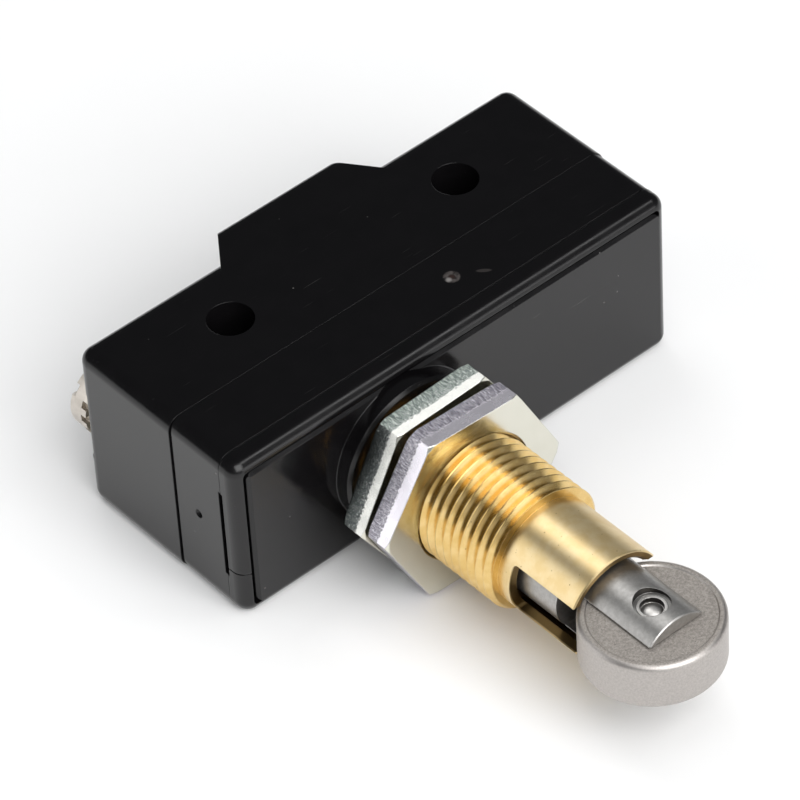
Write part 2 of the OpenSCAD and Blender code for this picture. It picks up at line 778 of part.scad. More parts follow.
module snap_blade() {
    window_w = tongue_blade_w + 2 * blade_leg_gap;
    left = -pivot_offset - blade_end_bar - contact_air;
    right = contact_offset + contact_d / 2 + blade_tip_margin;
    pivot_window = [strip_t + 6 * contact_air, strip_span / 2 + 2 * blade_leg_gap];
    color(copper) {
        along_y(-blade_front, -blade_back) difference() {
            translate([left, axis_z - blade_w / 2]) square([right - left, blade_w]);
            translate([-pivot_offset - contact_air, axis_z - pivot_window.y / 2]) square(pivot_window);
            translate([-window_end, axis_z - window_w / 2]) square([tongue_root + window_end, window_w]);
            translate([contact_offset, axis_z]) circle(contact_d / 4 + seat_fit);
        }
        bowed_tongue();
    }
}

module moving_contact() {
    color(silver) translate([contact_offset, 0, axis_z]) rotate([90, 0, 0]) {
        translate([0, 0, blade_front]) cylinder(d = contact_d, h = contact_h);
        translate([0, 0, blade_back - contact_h]) cylinder(d = contact_d, h = contact_h);
        translate([0, 0, blade_back - eps]) cylinder(d = contact_d / 2, h = blade_t + 2 * eps);
    }
}

module nc_contact() {
    color(silver) translate([contact_offset, 0, axis_z]) rotate([90, 0, 0])
        translate([0, 0, nc_face]) cylinder(d = contact_d, h = contact_h);
}

module no_contact() {
    color(silver) translate([contact_offset, 0, axis_z]) rotate([90, 0, 0])
        translate([0, 0, no_strip_front]) cylinder(d = contact_d, h = contact_h);
}

// Bent strip of constant thickness along a route in X and Y, centred on the axis height.
module bent_strip(route, span) {
    translate([0, 0, axis_z - span / 2]) linear_extrude(span) {
        for (p = route) translate(p) circle(d = strip_t);
        for (i = [0 : len(route) - 2])
            let (v = route[i + 1] - route[i])
            translate(route[i]) rotate(atan2(v.y, v.x))
                translate([0, -strip_t / 2]) square([norm(v), strip_t]);
    }
}

// Outer pad and threaded boss of a terminal whose seat lies at the given depth.
module terminal_boss(x, seat) {
    on_terminal_axis(x) difference() {
        union() {
            translate([-pad_l / 2, -pad_w / 2, seat]) cube([pad_l, pad_w, pad_t]);
            translate([0, 0, seat - boss_l]) cylinder(d = boss_d, h = boss_l + eps);
        }
        cylinder(d = screw_d + 2 * running_fit, h = far);
    }
}

// Hole through a strip under a terminal, so that the screw's end runs free.
module screw_clearance(x) {
    on_terminal_axis(x) cylinder(d = screw_d + 2 * running_fit, h = far);
}

module end_terminal(side, route_end, front) {
    seat = shoulder_depth - seat_depth;
    root_y = seat - boss_l + strip_t / 2;
    wall_x = side * (strip_wall_x + strip_t / 2 - mould_fit);
    root_x = side * max(terminal_offset - boss_d / 2, column_end + strip_t / 2 + mould_fit);
    terminal_boss(side * terminal_offset, seat);
    difference() {
        bent_strip([
            [root_x, root_y], [wall_x, root_y],
            [wall_x, -front], [route_end, -front]
        ], strip_span);
        screw_clearance(side * terminal_offset);
    }
}

module com_terminal() {
    plate_y = com_plate_front - strip_t / 2;
    spring_tab_x = strip_t / 2 - window_end + 2 * contact_air;
    color(brass) {
        end_terminal(-1, spring_tab_x, plate_y);
        bent_strip([[-pivot_offset + strip_t / 2, -plate_y], [-pivot_offset + strip_t / 2, -pivot_reach]],
                   strip_span / 2);
        bent_strip([[spring_tab_x, -plate_y], [spring_tab_x, -blade_depth]], tongue_blade_w);
    }
}

module nc_terminal() {
    color(brass) end_terminal(1, contact_offset - contact_d / 2, nc_strip_back + strip_t / 2);
}

module no_terminal() {
    seat = hump_depth - seat_depth;
    root_y = seat - boss_l + strip_t / 2;
    strip_y = strip_t / 2 - no_strip_front;
    stem_x = -boss_d / 2 + strip_t / 2;
    color(brass) {
        terminal_boss(0, seat);
        difference() {
            bent_strip([
                [-stem_x, root_y], [stem_x, root_y], [stem_x, strip_y],
                [contact_offset + contact_d / 2, strip_y]
            ], strip_span);
            screw_clearance(0);
        }
    }
}

function terminal_seat(x) = (x == 0 ? hump_depth : shoulder_depth) - seat_depth + pad_t;

// Slotted round-head screw.
module terminal_screw() {
    head_r = head_d / 2;
    crown = head_h - head_rim_h;
    dome_r = (head_r * head_r + crown * crown) / (2 * crown);
    difference() {
        union() {
            translate([0, 0, -screw_l]) cylinder(d = screw_d, h = screw_l + eps);
            intersection() {
                cylinder(d = head_d, h = 2 * head_h);
                translate([0, 0, head_h - dome_r]) sphere(dome_r);
            }
        }
        rotate([0, 0, slot_turn]) translate([-far, -slot_w / 2, head_h - slot_depth])
            cube([2 * far, slot_w, far]);
    }
}

module terminal_screws() {
    color(nickel) for (x = [-terminal_offset, 0, terminal_offset])
        on_terminal_axis(x) translate([0, 0, terminal_seat(x) + washer_t]) terminal_screw();
}

module toothed_washer() {
    tooth_l = washer_d / 16;
    notch_w = PI * washer_d / washer_teeth / 2;
    linear_extrude(washer_t) difference() {
        circle(d = washer_d);
        circle(d = screw_d + 2 * washer_play);
        for (i = [0 : washer_teeth - 1])
            rotate(360 * i / washer_teeth) translate([washer_d / 2 - tooth_l, -notch_w / 2])
                square([2 * tooth_l, notch_w]);
    }
}

module toothed_washers() {
    color(nickel) for (x = [-terminal_offset, 0, terminal_offset])
        on_terminal_axis(x) translate([0, 0, terminal_seat(x)]) toothed_washer();
}

base_case();
front_cover();
actuator_plate();
threaded_bushing();
guide_bush();
rear_lock_nut();
front_lock_nut();
roller_plunger();
roller();
roller_pin();
return_spring();
overtravel_spring();
inner_pusher();
switch_button();
snap_blade();
moving_contact();
nc_contact();
no_contact();
com_terminal();
no_terminal();
nc_terminal();
terminal_screws();
toothed_washers();
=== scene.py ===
"""Looks of the roller plunger limit switch: materials, cut thread, springs, light and camera."""

import math

import bmesh
import bpy
import numpy as np
from mathutils import Matrix, Vector


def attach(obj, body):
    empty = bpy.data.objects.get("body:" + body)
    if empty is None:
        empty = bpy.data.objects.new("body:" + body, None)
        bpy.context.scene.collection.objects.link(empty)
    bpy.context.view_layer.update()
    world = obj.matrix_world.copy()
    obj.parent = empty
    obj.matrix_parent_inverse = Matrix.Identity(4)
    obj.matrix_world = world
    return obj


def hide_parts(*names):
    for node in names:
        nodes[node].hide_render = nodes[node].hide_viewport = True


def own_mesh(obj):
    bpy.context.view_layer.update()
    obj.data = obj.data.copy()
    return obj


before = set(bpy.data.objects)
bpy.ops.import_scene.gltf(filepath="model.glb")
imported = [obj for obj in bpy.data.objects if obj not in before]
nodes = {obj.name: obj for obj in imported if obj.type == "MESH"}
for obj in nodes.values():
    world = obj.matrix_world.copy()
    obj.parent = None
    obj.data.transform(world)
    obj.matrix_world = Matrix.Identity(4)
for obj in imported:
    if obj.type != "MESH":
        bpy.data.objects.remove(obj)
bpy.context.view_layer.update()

MM = 0.001

# Plunger axis, radii and distances forward of the mounting-hole line in mm, with ROLLER_Y as a coordinate
AXIS_X, AXIS_Z = -6.4, 8.725
BODY_TOP = 17.45
FLANGE_BACK, FLANGE_FRONT, FLANGE_R = 10.9, 11.9, 6.7
THREAD_START, THREAD_END, THREAD_R = 15.95, 32.0, 6.0
THREAD_PITCH, THREAD_DEPTH, CREST_SHARE, THREAD_LEAD = 1.0, 0.56, 0.1, -0.27
NOSE_END, NOSE_R, NOSE_EDGE = 40.6, 5.15, 0.1
CHAMBER_R, STOP_FACE, BORE_R = 4.7, 30.0, 3.89
GUIDE_END, NOSE_BORE_R, MOUTH_EDGE = 32.6, 4.3, 0.3
SLOT_END, SLOT_W, SLOT_R = 33.4, 5.1, 0.4
REAR_NUT_BACK, FRONT_NUT_BACK, NUT_T = 17.75, 20.85, 2.5
ROLLER_Y, ROLLER_R, PIN_WELL_R = -45.14, 6.2, 1.6

# Mould mark with a painted highlight on one side, and a nick with its turn in radians, on the top face in
# mm
MARK_PLACE, MARK_BORE, MARK_R = (4.2, -9.1, 0), 0.3, 0.72
PAINTED_GLINT_PLACE, PAINTED_GLINT_R = (3.78, -9.2, 0), 0.38
NICK_PLACE, NICK_TURN, NICK_HALF_L, NICK_HALF_W = (6.7, -10.4, BODY_TOP), 0.67, 0.72, 0.22

# Fineness of the bushing's mesh, with the weld distance and the cutter's overlap in mm
AROUND, CREST_STEPS, GROOVE_STEPS, SLOT_CORNER_POINTS = 120, 2, 14, 7
WELD, CUT_PAST = 1e-4, 1

# Edges sharper than this many degrees stay sharp
SHARP_ANGLE, COIL_SHARP_ANGLE = 32, 50


class Graph:
    """Short hand for building one material's nodes."""

    def __init__(self, name):
        self.material = bpy.data.materials.new(name)
        self.material.use_nodes = True
        self.tree = self.material.node_tree
        self.bsdf = self.tree.nodes["Principled BSDF"]
        place = self.node("ShaderNodeTexCoord")
        self.normal = place.outputs["Normal"]
        self.mm = self.vector("MULTIPLY", place.outputs["Object"], (1 / MM,) * 3)
        self.x, self.y, self.z = self.split(self.mm)

    def node(self, kind, inputs=(), **settings):
        made = self.tree.nodes.new(kind)
        for name, value in settings.items():
            setattr(made, name, value)
        for key, value in dict(inputs).items():
            self.feed(made.inputs[key], value)
        return made

    def feed(self, socket, value):
        if isinstance(value, bpy.types.NodeSocket):
            self.tree.links.new(value, socket)
        else:
            socket.default_value = value

    def set(self, **sockets):
        for name, value in sockets.items():
            self.feed(self.bsdf.inputs[name.replace("_", " ").title().replace("Ior", "IOR")], value)

    def vector(self, operation, a, b=(0, 0, 0)):
        made = self.node("ShaderNodeVectorMath", {0: a, 1: b}, operation=operation)
        return made.outputs["Value" if operation in ("LENGTH", "DISTANCE") else "Vector"]

    def split(self, vector):
        made = self.node("ShaderNodeSeparateXYZ", {"Vector": vector})
        return made.outputs["X"], made.outputs["Y"], made.outputs["Z"]

    def join(self, x, y, z):
        return self.node("ShaderNodeCombineXYZ", {"X": x, "Y": y, "Z": z}).outputs["Vector"]

    def math(self, operation, a, b=0.0, clamp=False):
        return self.node("ShaderNodeMath", {0: a, 1: b}, operation=operation, use_clamp=clamp).outputs[0]

    def step(self, value, low, high, to_low=0.0, to_high=1.0):
        """Smooth rise from to_low at low to to_high at high."""
        inputs = {"Value": value, "From Min": low, "From Max": high, "To Min": to_low, "To Max": to_high}
        return self.node("ShaderNodeMapRange", inputs, interpolation_type="SMOOTHSTEP").outputs["Result"]

    def band(self, value, low, high, soft):
        """1 between low and high, with soft edges."""
        return self.math("MULTIPLY", self.step(value, low - soft, low + soft),
                         self.step(value, high - soft, high + soft, 1.0, 0.0))

    def noise(self, scale, detail=3.0, rough=0.55, stretch=(1, 1, 1), vector=None):
        """Noise with about scale features in each mm."""
        where = self.vector("MULTIPLY", vector or self.mm, stretch)
        inputs = {"Vector": where, "Scale": scale, "Detail": detail, "Roughness": rough}
        return self.node("ShaderNodeTexNoise", inputs).outputs[0]

    def specks(self, spacing, radius):
        """Sparse round dots, one at most in each cell of that many mm."""
        cells = self.node("ShaderNodeTexVoronoi", {"Vector": self.mm, "Scale": 1 / spacing})
        return self.step(cells.outputs["Distance"], radius / spacing, radius / spacing / 2)

    def mix(self, factor, a, b):
        made = self.node("ShaderNodeMix", data_type="RGBA")
        for socket, value in zip((made.inputs[0], made.inputs[6], made.inputs[7]), (factor, a, b)):
            self.feed(socket, value)
        return made.outputs[2]

    def bump(self, height, distance, edge=0.0, strength=1.0):
        """Bump of that many mm, on edges that look rounded to radius edge in mm."""
        inputs = {"Height": height, "Distance": distance * MM, "Strength": strength}
        if edge:
            bevel = self.node("ShaderNodeBevel", {"Radius": edge * MM}, samples=6)
            inputs["Normal"] = bevel.outputs["Normal"]
        self.feed(self.bsdf.inputs["Normal"], self.node("ShaderNodeBump", inputs).outputs["Normal"])
        return self

    def radius(self):
        """Distance from the plunger axis in mm."""
        return self.vector("LENGTH", self.join(self.math("SUBTRACT", self.x, AXIS_X), 0.0,
                                               self.math("SUBTRACT", self.z, AXIS_Z)))


def rgb(r, g, b):
    return (r, g, b, 1.0)


def phenolic():
    """Black moulded phenolic: faint mottling, hair scratches, dust, and on the top a mould mark, a nick
    and a painted highlight.
    """
    g = Graph("black_phenolic")
    mottle = g.noise(0.35, 4)
    grain = g.noise(9, 3)
    hair = g.noise(1.1, 2, stretch=(0.12, 6, 6))
    scratch = g.math("MULTIPLY", g.step(hair, 0.70, 0.74), g.step(g.noise(0.2, 1), 0.52, 0.62))
    dust = g.math("MULTIPLY", g.specks(1.9, 0.1), g.step(g.noise(0.4, 1), 0.5, 0.62))
    top = g.step(g.z, BODY_TOP - 0.2, BODY_TOP - 0.1)
    place = g.join(g.x, g.y, 0.0)
    from_mark = g.vector("DISTANCE", place, MARK_PLACE)
    mark = g.math("MULTIPLY", g.band(from_mark, MARK_BORE, MARK_R, 0.1), top)
    ring = g.math("MULTIPLY", mark, g.step(g.noise(3.0, 2), 0.2, 0.7))
    # Painted highlight: a pale spot on one side of the mould mark
    painted_glint = g.math("MULTIPLY", g.step(g.vector("DISTANCE", place, PAINTED_GLINT_PLACE), PAINTED_GLINT_R, 0.1), top)
    turned = g.node("ShaderNodeVectorRotate", {"Vector": g.mm, "Center": NICK_PLACE, "Angle": NICK_TURN})
    along, across, _ = g.split(g.vector("SUBTRACT", turned.outputs["Vector"], NICK_PLACE))
    oval = g.vector("LENGTH", g.join(g.math("DIVIDE", along, NICK_HALF_L),
                                     g.math("DIVIDE", across, NICK_HALF_W), 0.0))
    nick = g.math("MULTIPLY", g.step(oval, 1.1, 0.7), g.math("MULTIPLY", top, 0.35))
    core = g.math("MULTIPLY", g.step(from_mark, 0.5, 0.1), top)
    pale = g.math("ADD", g.math("MULTIPLY", dust, 0.5), g.math("MULTIPLY", scratch, 0.1), clamp=True)
    colour = g.mix(mottle, rgb(0.0044, 0.0041, 0.0046), rgb(0.0080, 0.0072, 0.0080))
    colour = g.mix(core, colour, rgb(0.05, 0.03, 0.026))
    colour = g.mix(g.math("ADD", ring, nick, clamp=True), colour, rgb(0.13, 0.115, 0.11))
    colour = g.mix(painted_glint, colour, rgb(0.36, 0.34, 0.33))
    colour = g.mix(pale, colour, rgb(0.30, 0.29, 0.28))
    nx, ny, nz = (g.math("ABSOLUTE", part) for part in g.split(g.normal))
    edge = g.step(g.math("MAXIMUM", nx, g.math("MAXIMUM", ny, nz)), 0.98, 0.85)
    rough = g.math("ADD", g.step(mottle, 0.3, 0.7, 0.11, 0.17), g.math("MULTIPLY", scratch, 0.2))
    rough = g.math("ADD", rough, g.math("MULTIPLY", edge, 0.1))
    g.set(base_color=colour, roughness=rough, ior=1.46)
    return g.bump(g.math("ADD", g.math("MULTIPLY", grain, 0.2), g.math("MULTIPLY", ring, 0.6)), 0.02,
                  edge=0.1, strength=0.35).material


def turned_brass():
    """Turned brass with fine turning lines and specks, and painted shade on the nose's inner surfaces."""
    g = Graph("turned_brass")
    cloud = g.noise(0.8, 4)
    lines = g.noise(2.2, 2, stretch=(0.25, 7, 0.25))
    specks = g.math("MULTIPLY", g.specks(0.55, 0.07), g.step(g.noise(0.9, 2), 0.5, 0.6))
    on_nose = g.step(g.y, -THREAD_END - 0.06, -THREAD_END - 0.02, 1.0, 0.0)
    # Painted shade on the nose inside its outer skin: bore, mouth, slot walls and most of its end face
    painted_shade_inside = g.math("MULTIPLY", g.step(g.radius(), NOSE_R - 0.16, NOSE_R - 0.12, 1.0, 0.0), on_nose)
    thread = g.mix(g.step(cloud, 0.35, 0.7), rgb(0.76, 0.52, 0.19), rgb(0.84, 0.62, 0.28))
    nose = g.mix(g.step(cloud, 0.35, 0.7), rgb(0.80, 0.61, 0.31), rgb(0.86, 0.69, 0.40))
    colour = g.mix(on_nose, thread, nose)
    colour = g.mix(painted_shade_inside, colour, rgb(0.30, 0.20, 0.08))
    colour = g.mix(g.math("MULTIPLY", specks, 0.6), colour, rgb(0.25, 0.15, 0.06))
    satin = g.math("ADD", g.step(on_nose, 0.0, 1.0, 0.20, 0.32), g.math("MULTIPLY", lines, 0.06))
    g.set(base_color=colour, metallic=1.0, roughness=g.math("ADD", satin, g.math("MULTIPLY", specks, 0.3)))
    return g.bump(lines, 0.0008, edge=0.05, strength=0.3).material


def zinc_plate(name, back, torn_share, dark, light, cut_colour, roll, depth, shade):
    """Zinc-plated stamped nut, with sides torn at the rear and cut clean at the front.

    back is its rear face and torn_share the torn part of its thickness. roll slopes the sides that face up
    or down, depth is the relief of the torn zone, and shade sets how dark the painted shade is on that
    zone of the left flat.
    """
    g = Graph(name)
    forward = g.math("SUBTRACT", g.math("MULTIPLY", g.y, -1.0), back)
    ragged = g.math("MULTIPLY", g.math("SUBTRACT", g.noise(5.0, 5, 0.7), 0.5), 1.1)
    share = NUT_T * torn_share
    along, facing, up = g.split(g.normal)
    side = g.step(g.math("ABSOLUTE", facing), 0.8, 0.5)
    behind = g.step(g.math("ADD", forward, ragged), share - 0.08, share + 0.08, 1.0, 0.0)
    torn = g.math("MULTIPLY", behind, side)
    cut = g.math("SUBTRACT", side, torn)
    streak = g.noise(15.0, 3, 0.6, stretch=(1, 0.12, 1))
    grit = g.noise(12, 4, 0.7)
    cloud = g.noise(0.6, 3)
    face = g.mix(cloud, rgb(0.70, 0.69, 0.60), rgb(0.80, 0.79, 0.71))
    scraped = g.mix(g.step(streak, 0.38, 0.66), dark, light)
    scraped = g.mix(g.step(g.math("ADD", grit, g.math("MULTIPLY", forward, 0.06)), 0.62, 0.72), scraped,
                    rgb(0.92, 0.92, 0.90))
    # Painted shade: the torn zone of the left flat is darkened where it mirrors the dark housing
    painted_left_shade = g.math("MULTIPLY", g.step(along, -0.4, -0.7), g.step(grit, 0.5, 0.62, shade, 0.3 * shade))
    scraped = g.mix(painted_left_shade, scraped, rgb(0.03, 0.033, 0.036))
    colour = g.mix(torn, g.mix(side, face, cut_colour), scraped)
    rough = g.step(cloud, 0.3, 0.7, 0.16, 0.24)
    rough = g.math("ADD", rough, g.math("MULTIPLY", cut, 0.06))
    g.set(base_color=colour, metallic=1.0, roughness=rough)
    scrape = g.math("MULTIPLY", torn, g.math("MULTIPLY", g.math("ADD", streak, grit), depth))
    fall = g.math("MULTIPLY", g.math("MULTIPLY", up, up), g.math("MULTIPLY", forward, -roll))
    return g.bump(g.math("ADD", scrape, g.math("MULTIPLY", side, fall)), 1.0, edge=0.12).material


def satin_steel(name="satin_steel", dark=(0.38, 0.37, 0.355), light=(0.48, 0.47, 0.455)):
    """Ground steel with fine cross lines, and painted shade on the walls of the wells over the roller pin.
    """
    g = Graph(name)
    from_pin = g.vector("LENGTH", g.join(g.math("SUBTRACT", g.x, AXIS_X),
                                         g.math("SUBTRACT", g.y, ROLLER_Y), 0.0))
    # Painted shade on the steep walls of the wells around the roller pin
    painted_shade_wall = g.math("MULTIPLY", g.step(from_pin, PIN_WELL_R + 0.1, PIN_WELL_R + 0.04),
                  g.step(g.math("ABSOLUTE", g.split(g.normal)[2]), 0.6, 0.4))
    cloud = g.noise(2.4, 5, 0.7)
    lines = g.noise(2.0, 2, stretch=(0.5, 8, 0.5))
    colour = g.mix(g.step(cloud, 0.3, 0.7), rgb(*dark), rgb(*light))
    colour = g.mix(painted_shade_wall, colour, rgb(0.03, 0.028, 0.026))
    g.set(base_color=colour, metallic=1.0, roughness=g.step(lines, 0.3, 0.7, 0.36, 0.44))
    return g.bump(lines, 0.004, edge=0.08, strength=0.4).material


def sintered_steel():
    """Sintered roller: open-grained speckle on its faces, closer and paler grain on its rim."""
    g = Graph("sintered_steel")
    local = g.vector("SUBTRACT", g.mm, (AXIS_X, ROLLER_Y, AXIS_Z))
    x, y, _ = g.split(local)
    reach = g.vector("LENGTH", g.join(x, y, 0.0))
    face = g.step(g.math("ABSOLUTE", g.split(g.normal)[2]), 0.8, 0.97)
    rim = g.step(reach, ROLLER_R - 0.5, ROLLER_R - 0.3)
    grit = g.noise(5.5, 4, 0.7)
    coarse = g.noise(1.6, 3)
    pores = g.step(g.noise(7.5, 2), 0.36, 0.28)
    dull = g.mix(g.step(grit, 0.3, 0.72), rgb(0.36, 0.335, 0.31), rgb(0.56, 0.525, 0.49))
    worn = g.mix(g.step(grit, 0.3, 0.7), rgb(0.43, 0.40, 0.38), rgb(0.53, 0.50, 0.475))
    open_face = g.math("MULTIPLY", face, g.step(rim, 0.0, 1.0, 1.0, 0.45))
    colour = g.mix(open_face, worn, dull)
    open_pores = g.math("MULTIPLY", pores, g.math("MULTIPLY", open_face, 0.6))
    colour = g.mix(open_pores, colour, rgb(0.10, 0.09, 0.08))
    rough = g.math("ADD", g.step(open_face, 0.0, 1.0, 0.40, 0.75), g.math("MULTIPLY", coarse, 0.08))
    g.set(base_color=colour, metallic=1.0, roughness=rough)
    height = g.math("MULTIPLY", grit, g.math("ADD", g.math("MULTIPLY", open_face, 0.9), 0.1))
    return g.bump(height, 0.035, edge=0.08, strength=0.6).material


def plated(name, dark, light, rough=(0.18, 0.3)):
    """Plated or drawn small metal: cloudy tone and faint handling marks."""
    g = Graph(name)
    cloud = g.noise(0.9, 4)
    marks = g.noise(3.5, 3, stretch=(1, 0.4, 1.6))
    colour = g.mix(g.step(cloud, 0.3, 0.7), rgb(*dark), rgb(*light))
    g.set(base_color=colour, metallic=1.0, roughness=g.step(marks, 0.3, 0.7, *rough))
    return g.bump(marks, 0.01, edge=0.08, strength=0.5).material


def button_phenolic():
    """Dark red moulded button."""
    g = Graph("red_phenolic")
    cloud = g.noise(1.0, 4)
    g.set(base_color=g.mix(cloud, rgb(0.10, 0.015, 0.01), rgb(0.17, 0.03, 0.018)),
          roughness=g.step(cloud, 0.3, 0.7, 0.3, 0.42))
    return g.bump(g.noise(8, 2), 0.01, edge=0.08, strength=0.4).material


def floor_paper():
    """Seamless pale paper."""
    g = Graph("floor_paper")
    fibre = g.noise(0.05, 3)
    g.set(base_color=g.mix(fibre, rgb(0.90, 0.90, 0.90), rgb(0.93, 0.93, 0.93)), roughness=0.9)
    return g.material


def mesh_object(name, points, faces, check=True):
    """New object in the scene from points and faces."""
    mesh = bpy.data.meshes.new(name)
    mesh.from_pydata([tuple(p) for p in points], [], faces)
    if check:
        mesh.validate()
    made = bpy.data.objects.new(name, mesh)
    bpy.context.scene.collection.objects.link(made)
    return made


def dress(obj, material):
    """Gives an object that one material."""
    obj.data.materials.clear()
    obj.data.materials.append(material)


def crisp_smooth(mesh, degrees=SHARP_ANGLE):
    """Smooth shading with sharp edges where faces meet at more than that angle."""
    mesh.polygons.foreach_set("use_smooth", [True] * len(mesh.polygons))
    mesh.set_sharp_from_angle(angle=math.radians(degrees))


def thread_radius(forward, angle):
    """Radius of the right-hand thread: narrow crests, straight flanks and sharp roots."""
    phase = (forward / THREAD_PITCH - angle / (2 * math.pi) - THREAD_LEAD) % 1.0
    rise = np.clip(np.abs(phase - 0.5) * 2 / (1 - CREST_SHARE), 0, 1)
    return THREAD_R - THREAD_DEPTH * (1 - rise)


def ring_points(forward, radius, angle):
    """Points around the plunger axis, in mm."""
    across, up = radius * np.cos(angle), radius * np.sin(angle)
    return np.stack([AXIS_X + across, -forward + 0 * angle, AXIS_Z + up], axis=1)


def bushing_mesh(back, front):
    """Turned body: plain rings behind, a helical thread between its two ends, plain rings in front."""
    angle = np.arange(AROUND) * 2 * math.pi / AROUND
    crest = CREST_SHARE / 2
    breaks = np.concatenate([np.linspace(-crest, crest, CREST_STEPS, endpoint=False),
                             np.linspace(crest, 1 - crest, GROOVE_STEPS, endpoint=False)])
    per_turn = len(breaks)
    first = math.floor(THREAD_START / THREAD_PITCH) - 2
    last = math.ceil(THREAD_END / THREAD_PITCH) + 2
    rows = [ring_points(f, r, angle) for f, r in back]
    plain = len(rows)
    for turn in range(first, last):
        for share in breaks:
            forward = (turn + share + angle / (2 * math.pi) + THREAD_LEAD) * THREAD_PITCH
            forward = np.clip(forward, THREAD_START, THREAD_END)
            rows.append(ring_points(forward, thread_radius(forward, angle), angle))
    threaded = len(rows)
    rows += [ring_points(f, r, angle) for f, r in front]
    faces = []
    for i in range(len(rows)):
        helical = plain <= i < threaded - 1
        for k in range(AROUND):
            over = per_turn if helical and k == AROUND - 1 else 0
            if i + 1 + over < threaded or not helical:
                a, b = i % len(rows), (i + 1) % len(rows)
                faces.append((a * AROUND + k, (a + over) * AROUND + (k + 1) % AROUND,
                              (b + over) * AROUND + (k + 1) % AROUND, b * AROUND + k))
    made = mesh_object("bushing_thread", np.concatenate(rows) * MM, faces, check=False)
    work = bmesh.new()
    work.from_mesh(made.data)
    bmesh.ops.remove_doubles(work, verts=work.verts, dist=WELD * MM)
    bmesh.ops.dissolve_degenerate(work, edges=work.edges, dist=WELD * MM)
    work.to_mesh(made.data)
    work.free()
    return made


def slot_cutter():
    """Rounded bar along X that cuts both side slots of the nose."""
    corner = np.linspace(0, math.pi / 2, SLOT_CORNER_POINTS)
    half_w, end, front = SLOT_W / 2 - SLOT_R, SLOT_END + SLOT_R, NOSE_END + CUT_PAST
    outline = [(end - SLOT_R * math.sin(a), half_w + SLOT_R * math.cos(a)) for a in corner]
    outline += [(f, -w) for f, w in reversed(outline)]
    outline += [(front, -SLOT_W / 2), (front, SLOT_W / 2)]
    reach = 2 * NOSE_R
    points = [(AXIS_X + s * reach, -f, AXIS_Z + w) for s in (-1, 1) for f, w in outline]
    n = len(outline)
    faces = [(k, (k + 1) % n, n + (k + 1) % n, n + k) for k in range(n)]
    faces += [tuple(range(n - 1, -1, -1)), tuple(range(n, 2 * n))]
    return mesh_object("slot_cutter", np.array(points) * MM, faces)


def outward(obj):
    """Turns the faces of a closed mesh outwards."""
    work = bmesh.new()
    work.from_mesh(obj.data)
    bmesh.ops.recalc_face_normals(work, faces=work.faces)
    work.to_mesh(obj.data)
    work.free()


def threaded_bushing():
    """Bushing with a cut helical thread, a flat shoulder and a slotted nose, bored wider at the front."""
    root_r = THREAD_R - THREAD_DEPTH
    back = [(STOP_FACE, CHAMBER_R), (FLANGE_BACK, CHAMBER_R), (FLANGE_BACK, FLANGE_R),
            (FLANGE_FRONT, FLANGE_R), (FLANGE_FRONT, root_r), (THREAD_START, root_r)]
    front = [(THREAD_END, NOSE_R), (NOSE_END - NOSE_EDGE, NOSE_R), (NOSE_END, NOSE_R - NOSE_EDGE),
             (NOSE_END, NOSE_BORE_R + MOUTH_EDGE), (NOSE_END - MOUTH_EDGE, NOSE_BORE_R),
             (GUIDE_END, NOSE_BORE_R), (GUIDE_END, BORE_R), (STOP_FACE, BORE_R)]
    made = bushing_mesh(back, front)
    cutter = slot_cutter()
    for piece in (made, cutter):
        outward(piece)
    cut = made.modifiers.new("slots", "BOOLEAN")
    cut.operation, cut.object, cut.solver = "DIFFERENCE", cutter, "EXACT"
    graph = bpy.context.evaluated_depsgraph_get()
    made.data = bpy.data.meshes.new_from_object(made.evaluated_get(graph))
    made.modifiers.clear()
    bpy.data.objects.remove(cutter)
    crisp_smooth(made.data)
    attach(made, "switch_body")
    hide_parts("threaded_bushing")
    return made


def spring_piece(node, body):
    """Copy of a CAD spring with its own mesh, attached to the given body in place of the CAD node."""
    made = bpy.data.objects.new(node + "_coil", nodes[node].data.copy())
    bpy.context.scene.collection.objects.link(made)
    crisp_smooth(made.data, COIL_SHARP_ANGLE)
    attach(made, body)
    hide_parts(node)
    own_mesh(made)
    return made


